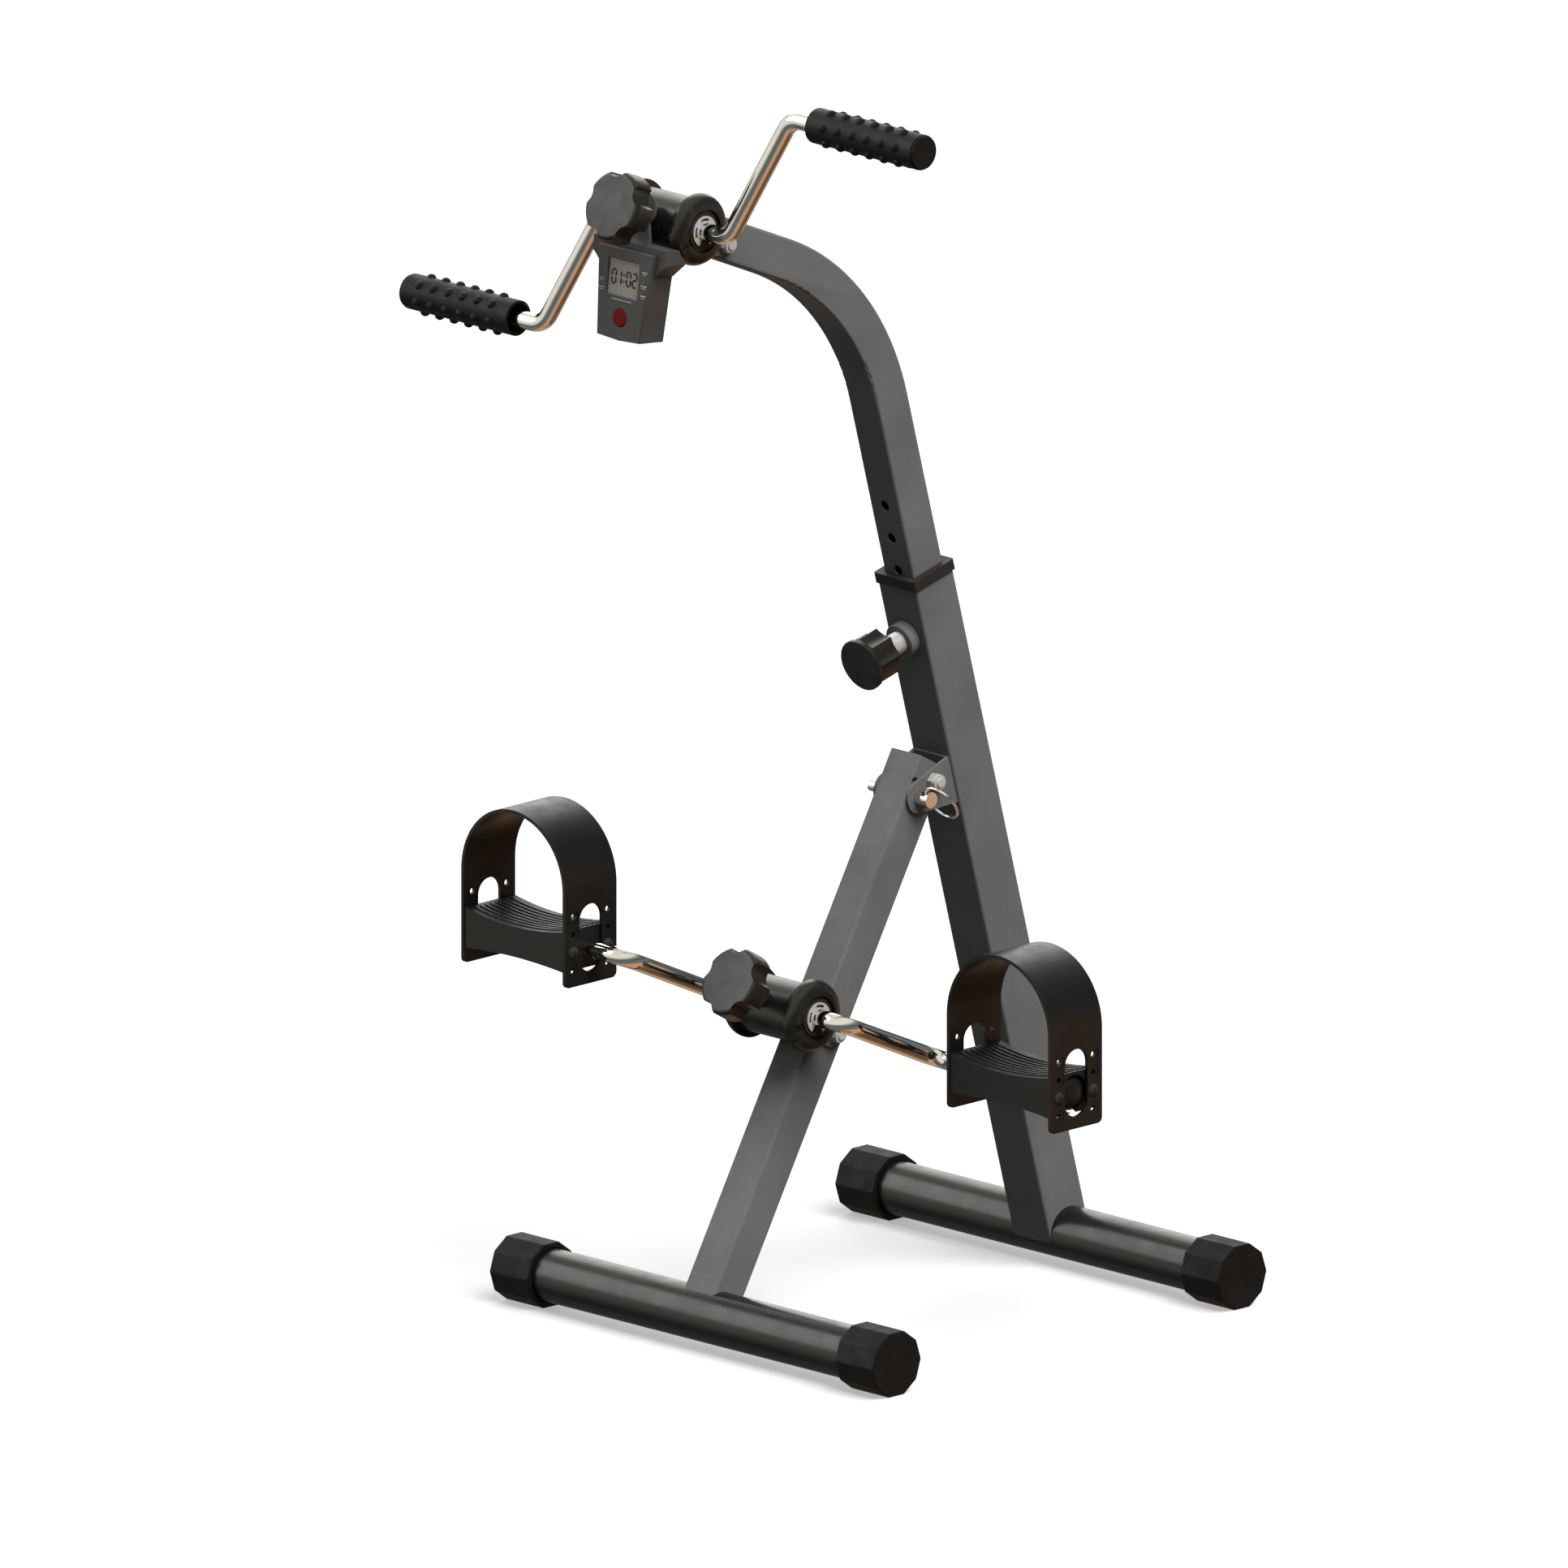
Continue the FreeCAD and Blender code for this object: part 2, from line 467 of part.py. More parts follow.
def bushes(label, frame):
    """Two flanged bushes that carry the crank."""
    pair = []
    for side_name, side in (("left", -1), ("right", 1)):
        name = "%s_%s" % (label, side_name)
        inner_x = d.hub_half - d.bush_inside
        face_x = d.hub_half + d.rim_web
        body_start = inner_x if side > 0 else -face_x
        flange_start = face_x if side > 0 else -face_x - d.bush_lip
        body = rod(name + "_body", "bush_radius", "bush_inside + rim_web", (body_start, 0, 0))
        flange = rod(name + "_flange", "bush_flange", "bush_lip", (flange_start, 0, 0))
        bore = rod(name + "_bore", "rod_fit", "rim_end", (inner_x - 2 if side > 0 else -d.rim_end, 0, 0))
        pair.append(cut(name, fuse(name + "_solid", body, flange), bore))
    group = doc.addObject("Part::Compound", label)
    group.Links = pair
    finish(group, label, frame)


def wedge(name, turn, half_angle, start):
    """A thin three-sided plate that opens from the crank's axis in the direction turn (degrees)."""
    far = 2 * d.washer_radius
    corners = [(far * math.cos(math.radians(turn + side)), far * math.sin(math.radians(turn + side)))
               for side in (-half_angle, half_angle)]
    return polygon_plate(name, [(0, 0)] + corners, "washer_thick + 2", start)


def lock_washers(label, frame):
    """Two snap-on rings that locate the crank, each open on one side and with three curved slots."""
    pair = []
    for side_name, side in (("left", -1), ("right", 1)):
        name = "%s_%s" % (label, side_name)
        inner_face = d.hub_half + d.rim_web + d.bush_lip + d.end_play
        start = inner_face if side > 0 else -inner_face - d.washer_thick
        blank = rod(name + "_disc", "washer_radius", "washer_thick", (start, 0, 0))
        bore = rod(name + "_bore", "rod_radius", "washer_thick + 2", (start - 1, 0, 0))
        mouth = wedge(name + "_mouth", CLIP_MOUTH, 28, start - 1)
        band = cut(name + "_slot_band",
                   rod(name + "_slot_outer", "washer_slot_outer", "washer_thick + 2", (start - 1, 0, 0)),
                   rod(name + "_slot_inner", "washer_slot_inner", "washer_thick + 4", (start - 2, 0, 0)))
        sectors = [wedge("%s_sector_%d" % (name, n), CLIP_MOUTH + n * 90, 26, start - 1) for n in (1, 2, 3)]
        slots = common(name + "_slots", band, fuse(name + "_sectors", *sectors))
        pair.append(cut(name, blank, bore, mouth, slots))
    group = doc.addObject("Part::Compound", label)
    group.Links = pair
    finish(group, label, frame)


def saddle(label, frame, bolt_y, drop):
    """The pressed bracket between the housing and the frame tube, with two ears along the tube."""
    back = d.hub_radius + d.saddle_thick
    low = -d.saddle_nose - drop
    cradle = block(label + "_cradle", "2 * (ear_gap + saddle_thick)", "12", "2 * saddle_nose",
                   (-d.ear_gap - d.saddle_thick, back - 12, low))
    parts = [cradle]
    for side_name, start in (("left", -d.ear_gap - d.saddle_thick), ("right", d.ear_gap)):
        name = "%s_%s" % (label, side_name)
        parts.append(block(name + "_ear", "saddle_thick", "%s" % (bolt_y - back + 2),
                           "2 * saddle_nose", (start, back - 2, low)))
        parts.append(rod(name + "_nose", "saddle_nose", "saddle_thick", (start, bolt_y, -drop)))
    hollow = cross_bar(label + "_hollow", "hub_radius", 0, 0)
    hole = cross_bar(label + "_hole", "bolt_radius", bolt_y, -drop)
    finish(cut(label, fuse(label + "_solid", *parts), hollow, hole), label, frame)


KNOB_LOBES = 5
SHOE_BACK = 16.8


def tension_knob(prefix, frame):
    """The five-lobed knob, its screw and the brake shoe that the screw moves."""
    inner = -d.knob_face + d.knob_thick
    blank = rod(prefix + "_knob_blank", "knob_radius", "knob_thick", (0, inner, 0), ALONG_FRONT)
    soft = rounded(prefix + "_knob_soft", blank, d.knob_round,
                   lambda edge: edge.Length > 150 and edge.CenterOfMass.y < inner - 1)
    scallops = []
    for n in range(KNOB_LOBES):
        angle = math.radians(26 + n * 360 / KNOB_LOBES)
        spot = (d.scallop_place * math.cos(angle), inner + 1, d.scallop_place * math.sin(angle))
        scallops.append(rod("%s_scallop_%d" % (prefix, n), "scallop_radius", "knob_thick + 2", spot,
                            ALONG_FRONT))
    stem = rod(prefix + "_knob_stem", "knob_stem_radius",
               "knob_face - knob_thick - hub_boss_end - 0.7", (0, -d.hub_boss_end - 1.2, 0), ALONG_FRONT)
    socket = rod(prefix + "_knob_socket", "screw_radius", "knob_face - screw_short - hub_boss_end",
                 (0, -d.hub_boss_end, 0), ALONG_FRONT)
    lobed = cut(prefix + "_knob_lobed", soft, *scallops)
    knob = cut(prefix + "_knob", fuse(prefix + "_knob_solid", lobed, stem), socket)
    finish(knob, prefix + "_knob", frame)

    screw = rod(prefix + "_screw", "screw_radius", "knob_face - screw_short - %s" % SHOE_BACK,
                (0, -SHOE_BACK, 0), ALONG_FRONT)
    screw_holder = doc.addObject("Part::Compound", prefix + "_screw_holder")
    screw_holder.Links = [screw]
    finish(screw_holder, prefix + "_brake_screw", frame)

    shoe_block = block(prefix + "_shoe_block", "16", "16.5", "12", (-8, -16.5, -6))
    shoe_hollow = rod(prefix + "_shoe_hollow", "rod_radius + shoe_gap", "20", (-10, 0, 0))
    shoe_back = block(prefix + "_shoe_back", "20", "10", "20", (-10, -4, -10))
    finish(cut(prefix + "_shoe", shoe_block, shoe_hollow, shoe_back), prefix + "_brake_shoe", frame)


for prefix, frame, bolt_y, drop in (("lower", LOWER_HUB, d.lower_bolt_y, d.lower_bolt_drop),
                                    ("upper", UPPER_HUB, d.upper_bolt_y, d.upper_bolt_drop)):
    hub_housing(prefix + "_hub_housing", frame)
    end_ring(prefix + "_left_end_ring", frame, -1)
    end_ring(prefix + "_right_end_ring", frame, 1)
    bushes(prefix + "_hub_bushes", frame)
    lock_washers(prefix + "_lock_washers", frame)
    saddle(prefix + "_hub_bracket", frame, bolt_y, drop)
    cross_bolt(prefix + "_hub_bolt", bolt_y, -drop, d.ear_gap + d.saddle_thick, frame)
    cross_nut(prefix + "_hub_nut", bolt_y, -drop, d.ear_gap + d.saddle_thick, frame)
    tension_knob(prefix, frame)

# ---------------------------------------------------------------- cranks
# Both cranks are one bent rod; the arms stand opposite each other. Their frames keep the world's axes.
LEVEL_LOWER = Placement(LOWER_HUB.Base, NO_TURN)
LEVEL_UPPER = Placement(UPPER_HUB.Base, NO_TURN)


def crank_rod(label, frame, corner, bend_radius, splay, offset, out_angle, end):
    """A round rod bent twice on each side; out_angle is the right arm's direction from +Z to the back."""
    lean = math.radians(out_angle)
    arm = Vector(0, math.sin(lean), math.cos(lean))
    run = offset / math.tan(math.radians(splay)) if splay < 90 else 0
    right = [Vector(corner, 0, 0), Vector(corner + run, 0, 0) + arm * offset,
             Vector(end, 0, 0) + arm * offset]
    left = [Vector(-p.x, -p.y, -p.z) for p in reversed(right)]
    spine = bent_path([tuple(p) for p in left + right], bend_radius)
    start = left[0]
    profile = Part.Wire(Part.makeCircle(d.rod_radius, start, X_AXIS))
    return finish(swept(label, spine, profile), label, frame)


FOOT_ANGLE = 90 + d.foot_drop
crank_rod("upper_crank_rod", LEVEL_UPPER, d.hand_corner, d.hand_bend, d.hand_splay, d.hand_offset, 0,
          d.hand_rod_end)
CAP_BASE = d.pedal_outer - d.strap_thick - 7
crank_rod("lower_crank_rod", LEVEL_LOWER, d.foot_corner, d.foot_bend, 90, d.foot_offset, FOOT_ANGLE,
          CAP_BASE + 4)


# ---------------------------------------------------------------- hand grips
def hand_grip(side_name, side):
    """A ribbed sleeve that turns on the rod, with six rows of round bumps and an end plug."""
    label = side_name + "_grip"
    sleeve_bar = rod(label + "_bar", "grip_radius", "grip_end - grip_start", (d.grip_start, 0, 0))
    bumps = []
    for ring_number in range(6):
        x = d.grip_start + 20 + ring_number * 17
        for row in range(6):
            angle = math.radians(15 + row * 60)
            spot = (x, -13.6 * math.cos(angle), 13.6 * math.sin(angle))
            bumps.append(primitive("Sphere", "%s_bump_%d_%d" % (label, ring_number, row), spot,
                                   Radius="grip_bump"))
    bore = rod(label + "_bore", "rod_fit", "150", (d.grip_start - 5, 0, 0))
    mouth = rod(label + "_mouth", "grip_radius - 2.5", "14", (d.grip_start - 1, 0, 0))
    turn = NO_TURN if side > 0 else Rotation(Vector(0, 0, 1), 180)
    frame = LEVEL_UPPER.multiply(Placement(Vector(0, 0, side * d.hand_offset), turn))
    finish(cut(label + "_sleeve", fuse(label + "_solid", sleeve_bar, *bumps), bore, mouth), label, frame)
    plug_disc = rod(label + "_plug_disc", "grip_radius - 0.75", "2.5", (d.grip_end, 0, 0))
    plug_core = rod(label + "_plug_core", "rod_fit", "6.5", (d.grip_end - 6, 0, 0))
    finish(fuse(label + "_plug", plug_disc, plug_core), label + "_plug", frame)


hand_grip("left", -1)
hand_grip("right", 1)


# ---------------------------------------------------------------- pedals
foot = math.radians(FOOT_ANGLE)
FOOT_ARM = Vector(0, math.sin(foot) * d.foot_offset, math.cos(foot) * d.foot_offset)
MID_X = (d.pedal_inner + d.pedal_outer) / 2
ARCH_RADIUS = (d.pedal_outer - d.pedal_inner) / 2
ARCH_Z = d.strap_top - ARCH_RADIUS


def pedal_strap(label, frame):
    """The moulded arch: two slotted side plates joined by a half-round band."""
    half = d.strap_width / 2

    def arch(name, inset, extra):
        legs = block(name + "_legs", "pedal_outer - pedal_inner - %s" % (2 * inset),
                     "strap_width + %s" % (2 * extra), "strap_top + strap_bottom - %s" % ARCH_RADIUS,
                     (d.pedal_inner + inset, -half - extra, -d.strap_bottom - extra))
        top = rod(name + "_top", "(pedal_outer - pedal_inner) / 2 - %s" % inset,
                  "strap_width + %s" % (2 * extra), (MID_X, half + extra, ARCH_Z), ALONG_FRONT)
        return fuse(name, legs, top)

    band = cut(label + "_band", arch(label + "_outer", 0, 0), arch(label + "_inner", d.strap_thick, 1))
    tools = [block(label + "_slot_box", "200", "slot_width", "slot_high + slot_low - slot_width",
                   (d.pedal_inner - 20, -d.slot_width / 2, -d.slot_low + d.slot_width / 2))]
    for name, z in (("low", -d.slot_low + d.slot_width / 2), ("high", d.slot_high - d.slot_width / 2)):
        tools.append(rod("%s_slot_%s" % (label, name), "slot_width / 2", "200", (d.pedal_inner - 20, 0, z)))
    for column in (-1, 1):
        for row in range(-1, 3):
            name = "%s_%d_%d" % (label, column, row)
            y = column * d.column_offset
            z = row * d.row_pitch
            tools.append(rod(name + "_hole", "2.5", "200", (d.pedal_inner - 20, y, z)))
            tools.append(rod(name + "_inner_ring", "ring_recess", "20.5", (d.pedal_inner - 20, y, z)))
            tools.append(rod(name + "_outer_ring", "ring_recess", "20", (d.pedal_outer - 0.5, y, z)))
        corner_x = d.pedal_inner - 20
        waste = block("%s_corner_%d" % (label, column), "200", "6", "6",
                      (corner_x, column * half - (6 if column > 0 else 0), -d.strap_bottom - 1))
        keep = rod("%s_corner_round_%d" % (label, column), "5", "200",
                   (corner_x, column * (half - 5), -d.strap_bottom + 5))
        tools.append(cut("%s_corner_cut_%d" % (label, column), waste, keep))
    finish(cut(label, band, *tools), label, frame)


RIDGES = 8


def pedal_block(label, frame):
    """The foot block: waisted above and below, with long ridges on top and a cap recess at its end."""
    start = d.pedal_inner + d.strap_thick
    long_size = "pedal_outer - pedal_inner - 2 * strap_thick"
    chord = (d.pedal_outer - d.pedal_inner) / 2 - d.strap_thick
    curve = (chord ** 2 + d.block_sag ** 2) / (2 * d.block_sag)
    under_curve = (chord ** 2 + d.under_sag ** 2) / (2 * d.under_sag)
    top = d.block_rise + d.block_height / 2
    bottom = d.block_rise - d.block_height / 2
    dip = top - d.block_sag + curve
    under_dip = bottom + d.under_sag - under_curve
    blank = block(label + "_blank", long_size, "block_depth", "block_height",
                  (start, -d.block_depth / 2, bottom))
    hollows = [rod(label + "_waist_top", "%s" % curve, "80", (MID_X, 40, dip), ALONG_FRONT),
               rod(label + "_waist_bottom", "%s" % under_curve, "80", (MID_X, 40, under_dip), ALONG_FRONT)]
    bore = rod(label + "_bore", "rod_fit", "160", (start - 10, 0, 0))
    recess = rod(label + "_recess", "16", "20", (CAP_BASE - 1, 0, 0))
    pilots = []
    for end_name, end_x in (("inner", start - 1), ("outer", d.pedal_outer - d.strap_thick - d.pilot_depth)):
        for column in (-1, 1):
            pilots.append(rod("%s_%s_pilot_%d" % (label, end_name, column), "pilot_radius",
                              "pilot_depth + 1", (end_x, column * d.column_offset, 0)))
    waisted = cut(label + "_waisted", blank, *hollows)
    ridge_bars = []
    for n in range(RIDGES):
        y = (n - (RIDGES - 1) / 2) * d.ridge_pitch - d.ridge_width / 2
        ridge_bars.append(block("%s_ridge_%d" % (label, n), "%s - 9" % long_size, "ridge_width", "14",
                                (start + 4.5, y, top - 8)))
    crest = rod(label + "_crest", "%s + 0.3" % curve, "80", (MID_X, 40, dip), ALONG_FRONT)
    above = rod(label + "_above", "%s - 1" % curve, "80", (MID_X, 40, dip), ALONG_FRONT)
    ridges = common(label + "_ridges", fuse(label + "_ridge_bars", *ridge_bars),
                    cut(label + "_crest_ring", crest, above))
    finish(cut(label, fuse(label + "_ridged", waisted, ridges), bore, recess, *pilots), label, frame)


def pan_screw(name):
    """A pan head screw facing +X, with its head's seat at the origin and a cross recess."""
    dome = primitive("Sphere", name + "_dome", (-3.8, 0, 0), Radius="7")
    pan = rod(name + "_pan", "5.5", "3.2", (0, 0, 0))
    shank = rod(name + "_shank", "2.2", "12", (-11.5, 0, 0))
    upright_bar = block(name + "_upright_bar", "3", "1.1", "5.6", (1.9, -0.55, -2.8))
    level_bar = block(name + "_level_bar", "3", "5.6", "1.1", (1.9, -2.8, -0.55))
    solid = fuse(name + "_solid", common(name + "_head", dome, pan), shank)
    return cut(name, solid, upright_bar, level_bar)


def pedal_screws(label, frame):
    """Four pan head screws, two through each side plate into the block."""
    screws = []
    for side in (-1, 1):
        for column in (-1, 1):
            screw = pan_screw("%s_%d_%d" % (label, side, column))
            face = d.pedal_outer - 0.5 if side > 0 else d.pedal_inner + 0.5
            turn = NO_TURN if side > 0 else Rotation(Vector(0, 0, 1), 180)
            screw.Placement = Placement(Vector(face, column * d.column_offset, 0), turn)
            screws.append(screw)
    group = doc.addObject("Part::Compound", label)
    group.Links = screws
    finish(group, label, frame)


def axle_caps(label):
    """The push-on domed caps that keep the pedals on the crank rod."""
    caps = []
    for side in (-1, 1):
        name = "%s_%s" % (label, "right" if side > 0 else "left")
        ball = primitive("Sphere", name + "_ball", (CAP_BASE - 9, 0, 0), Radius="18.8")
        dome_bar = rod(name + "_dome_bar", "14.5", "9.8", (CAP_BASE, 0, 0))
        socket = rod(name + "_socket", "rod_radius", "5", (CAP_BASE - 1, 0, 0))
        dome = common(name + "_dome", ball, dome_bar)
        cap = cut(name, dome, socket)
        turn = NO_TURN if side > 0 else Rotation(Vector(0, 0, 1), 180)
        cap.Placement = Placement(FOOT_ARM * side, turn)
        caps.append(cap)
    group = doc.addObject("Part::Compound", label)
    group.Links = caps
    finish(group, label, LEVEL_LOWER)


axle_caps("pedal_axle_caps")
for side_name, side in (("left", -1), ("right", 1)):
    turn = NO_TURN if side > 0 else Rotation(Vector(0, 0, 1), 180)
    pedal_frame = LEVEL_LOWER.multiply(Placement(FOOT_ARM * side, turn))
    pedal_strap(side_name + "_pedal_strap", pedal_frame)
    pedal_block(side_name + "_pedal_block", pedal_frame)
    pedal_screws(side_name + "_pedal_screws", pedal_frame)

# ---------------------------------------------------------------- monitor
# In the monitor's frame the front face is y 0, its top edge z 0 and its back +Y.
MONITOR = Placement(Vector(0, d.front_tube_y + d.case_y, d.tube_height + d.case_z),
                    Rotation(X_AXIS, -d.case_tilt))


def front_plate(name, outline, depth, y):
    """A plate whose outline is in the X-Z plane, pulled back along +Y from y."""
    sketch = doc.addObject("Sketcher::SketchObject", name + "_outline")
    sketch.Placement = Placement(Vector(0, y, 0), Rotation(X_AXIS, 90))
    count = len(outline)
    for n, point in enumerate(outline):
        after = outline[(n + 1) % count]
        sketch.addGeometry(Part.LineSegment(Vector(*point, 0), Vector(*after, 0)))
    for n in range(count):
        sketch.addConstraint(Sketcher.Constraint("Coincident", n, 2, (n + 1) % count, 1))
    plate = doc.addObject("Part::Extrusion", name)
    plate.Base = sketch
    plate.DirMode = "Normal"
    plate.Reversed = True
    plate.Solid = True
    plate.setExpression("LengthFwd", rule(depth))
    return plate


def case_outline(inset):
    top = d.case_top_width / 2 - inset
    bottom = d.case_bottom_width / 2 - inset
    return [(-top, -inset), (top, -inset), (bottom, -d.case_height + 1.5 + inset),
            (0, -d.case_height + inset), (-bottom, -d.case_height + 1.5 + inset)]


LCD_TOP = -9.7
BUTTON_Z = -58.0
shell = front_plate("case_shell", case_outline(0), "case_depth", 0)
cavity = front_plate("case_cavity", case_outline(2), "case_depth - 4", 2)
lcd_corner = Vector(-d.lcd_width / 2, 0, LCD_TOP - d.lcd_height)
window = block("case_window", "lcd_width", "4", "lcd_height", lcd_corner + Vector(0, -1, 0))
button_hole = rod("case_button_hole", "button_radius + 0.3", "6", (0, 4, BUTTON_Z), ALONG_FRONT)
finish(cut("monitor_case", shell, cavity, window, button_hole), "monitor_case", MONITOR)

lens = block("lens_plate", "lcd_width", "1.5", "lcd_height", lcd_corner + Vector(0, 0.2, 0))
finish(lens, "monitor_lens", MONITOR.multiply(lens.Placement))
panel = block("lcd_panel", "lcd_width + 4", "2.5", "lcd_height + 4", lcd_corner + Vector(-2, 2, -2))
finish(panel, "lcd_panel", MONITOR.multiply(panel.Placement))
board = front_plate("circuit_board", [(-24, -8), (24, -8), (20, -70), (-20, -70)], "1.6", 6.0)
finish(board, "circuit_board", MONITOR)

button_face = rod("button_face", "button_radius", "4.4", (0, 3.6, BUTTON_Z), ALONG_FRONT)
button_flange = rod("button_flange", "button_radius + 1.7", "1.2", (0, 4.0, BUTTON_Z), ALONG_FRONT)
finish(fuse("monitor_button", button_face, button_flange), "monitor_button", MONITOR)

# The holder is a bar with two wings over the case, and a tongue that fits round the upper hub's boss.
TO_MONITOR = MONITOR.inverse().multiply(UPPER_HUB)
wings = front_plate("holder_wings", [(-43, 5.3), (43, 5.3), (43, -7.5), (29.4, -19.8), (-29.4, -19.8),
                                     (-43, -7.5)], "case_depth - holder_y", d.holder_y)
case_room = front_plate("holder_case_room", case_outline(-0.15), "case_depth + 0.3", -0.15)
TONGUE_Y = -34.4
tongue = front_plate("holder_tongue", [(-18, -25.5), (18, -25.5), (18, -19), (12, -6), (12, 4), (-12, 4),
                                       (-12, -6), (-18, -19)], "tongue_thick", TONGUE_Y)
lug = rod("holder_lug", "15", "tongue_thick", (0, TONGUE_Y + d.tongue_thick, 4), ALONG_FRONT)
boss_hole = rod("holder_boss_hole", "hub_boss", "20", (0, -25, 0), ALONG_FRONT)
hub_room = rod("holder_hub_room", "rim_radius + 0.5", "100", (-50, 0, 0))
hub_parts = cut("holder_tongue_plate", fuse("holder_tongue_solid", tongue, lug), boss_hole)
hub_parts.Placement = TO_MONITOR
hub_room.Placement = TO_MONITOR.multiply(hub_room.Placement)
finish(cut("monitor_holder", fuse("holder_solid", wings, hub_parts), case_room, hub_room),
       "monitor_holder", MONITOR)

# ---------------------------------------------------------------- check and write
doc.recompute()
problems = [item.Name for item in doc.Objects if {"Invalid", "Error"} & set(item.State)]
if problems:
    raise RuntimeError("objects that failed: " + ", ".join(problems))
for item in finished:
    if item.Shape.isNull() or not item.Shape.isValid() or not item.Shape.Solids:
        raise RuntimeError("bad shape: " + item.Label)
    item.Shape.exportStep("parts/%s.step" % item.Label)
print(len(finished), "parts written")
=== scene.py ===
import json
import math

import bmesh
import bpy
from mathutils import Matrix, Vector

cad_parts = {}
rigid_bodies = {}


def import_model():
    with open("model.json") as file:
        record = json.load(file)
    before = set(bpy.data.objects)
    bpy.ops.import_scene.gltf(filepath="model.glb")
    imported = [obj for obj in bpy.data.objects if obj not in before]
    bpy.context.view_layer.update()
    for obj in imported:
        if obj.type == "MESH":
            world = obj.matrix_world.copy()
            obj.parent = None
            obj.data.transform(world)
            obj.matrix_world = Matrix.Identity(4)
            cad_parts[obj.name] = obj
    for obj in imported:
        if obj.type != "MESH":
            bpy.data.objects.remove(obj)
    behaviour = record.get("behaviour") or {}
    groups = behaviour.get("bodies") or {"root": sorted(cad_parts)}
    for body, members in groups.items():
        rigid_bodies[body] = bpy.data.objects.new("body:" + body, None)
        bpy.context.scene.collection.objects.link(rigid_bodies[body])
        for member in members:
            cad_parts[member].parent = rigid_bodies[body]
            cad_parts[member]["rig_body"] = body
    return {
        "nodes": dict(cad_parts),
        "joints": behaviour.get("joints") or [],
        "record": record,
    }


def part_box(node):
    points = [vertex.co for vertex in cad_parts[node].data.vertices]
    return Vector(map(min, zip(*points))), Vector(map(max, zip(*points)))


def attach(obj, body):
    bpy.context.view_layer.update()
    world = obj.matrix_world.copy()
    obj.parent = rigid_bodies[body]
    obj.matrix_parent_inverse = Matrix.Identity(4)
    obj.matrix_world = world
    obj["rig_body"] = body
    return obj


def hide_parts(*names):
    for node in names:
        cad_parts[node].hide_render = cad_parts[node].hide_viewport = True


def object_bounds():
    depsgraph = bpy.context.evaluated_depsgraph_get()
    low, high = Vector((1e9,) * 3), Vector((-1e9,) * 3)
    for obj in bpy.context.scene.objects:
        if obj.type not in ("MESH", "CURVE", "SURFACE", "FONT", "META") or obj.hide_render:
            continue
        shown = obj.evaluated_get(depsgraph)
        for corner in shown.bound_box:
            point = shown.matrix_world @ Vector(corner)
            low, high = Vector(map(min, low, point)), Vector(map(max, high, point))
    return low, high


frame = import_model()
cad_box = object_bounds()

NODES = frame["nodes"]
JOINTS = {joint["name"]: joint for joint in frame["joints"]}
MM = 0.001

# ---------------------------------------------------------------- camera, light and floor
AZIMUTH = math.radians(45.3)
ELEVATION = math.radians(14.85)
VIEW_RIGHT = Vector((math.cos(AZIMUTH), math.sin(AZIMUTH), 0))
VIEW_UP = Vector((-math.sin(AZIMUTH) * math.sin(ELEVATION), math.cos(AZIMUTH) * math.sin(ELEVATION),
                  math.cos(ELEVATION)))
VIEW_BACK = VIEW_RIGHT.cross(VIEW_UP)
VIEW_WIDTH = 1.2953
LOOK_RIGHT = 0.0650
LOOK_UP = 0.4385
CAMERA_DISTANCE = 4.0


def link(obj):
    bpy.context.scene.collection.objects.link(obj)
    return obj


def make_camera():
    low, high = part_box("front_base_tube")
    target = (low + high) / 2 + VIEW_RIGHT * LOOK_RIGHT + VIEW_UP * LOOK_UP
    data = bpy.data.cameras.new("camera")
    data.type = "ORTHO"
    data.ortho_scale = VIEW_WIDTH
    data.clip_end = 60
    camera = link(bpy.data.objects.new("camera", data))
    turn = Matrix((VIEW_RIGHT, VIEW_UP, VIEW_BACK)).transposed()
    camera.matrix_world = Matrix.Translation(target + VIEW_BACK * CAMERA_DISTANCE) @ turn.to_4x4()
    bpy.context.scene.camera = camera


def softbox(name, toward, strength, spread):
    """A far, wide light shining from the direction toward; spread is its apparent width in degrees."""
    data = bpy.data.lights.new(name, "SUN")
    data.energy = strength
    data.angle = math.radians(spread)
    lamp = link(bpy.data.objects.new(name, data))
    lamp.rotation_euler = Vector(toward).to_track_quat("Z", "Y").to_euler()
    return lamp


# What shiny surfaces mirror: a room from a brown floor to a cream ceiling along ROOM_UP, as (place from
# -1 to 1, colour).
ROOM_UP = Vector((-0.40, -0.45, 0.80)).normalized()
MIRRORED_ROOM = (
    (-1.0, (0.13, 0.07, 0.035)), (-0.90, (0.28, 0.16, 0.08)), (-0.80, (0.60, 0.36, 0.21)),
    (-0.50, (0.50, 0.33, 0.21)), (-0.37, (0.05, 0.06, 0.07)), (-0.25, (0.20, 0.28, 0.34)),
    (-0.12, (0.08, 0.08, 0.08)), (0.05, (0.18, 0.17, 0.15)), (0.20, (0.30, 0.29, 0.26)),
    (0.36, (0.85, 0.84, 0.73)), (0.60, (0.88, 0.87, 0.76)), (1.0, (0.80, 0.79, 0.70)))
MIRRORED_LIGHT = 0.95
ROOM_LIGHT = 0.09
KEY_TOWARD, KEY_STRENGTH, KEY_SPREAD = (0.54, -0.05, 0.84), 4.5, 44
SHEEN_TOWARD, SHEEN_STRENGTH, SHEEN_SPREAD = (-0.68, -0.55, 0.48), 1.5, 48
BACK_TOWARD, BACK_STRENGTH, BACK_SPREAD = (-0.62, 0.66, 0.42), 1.1, 50


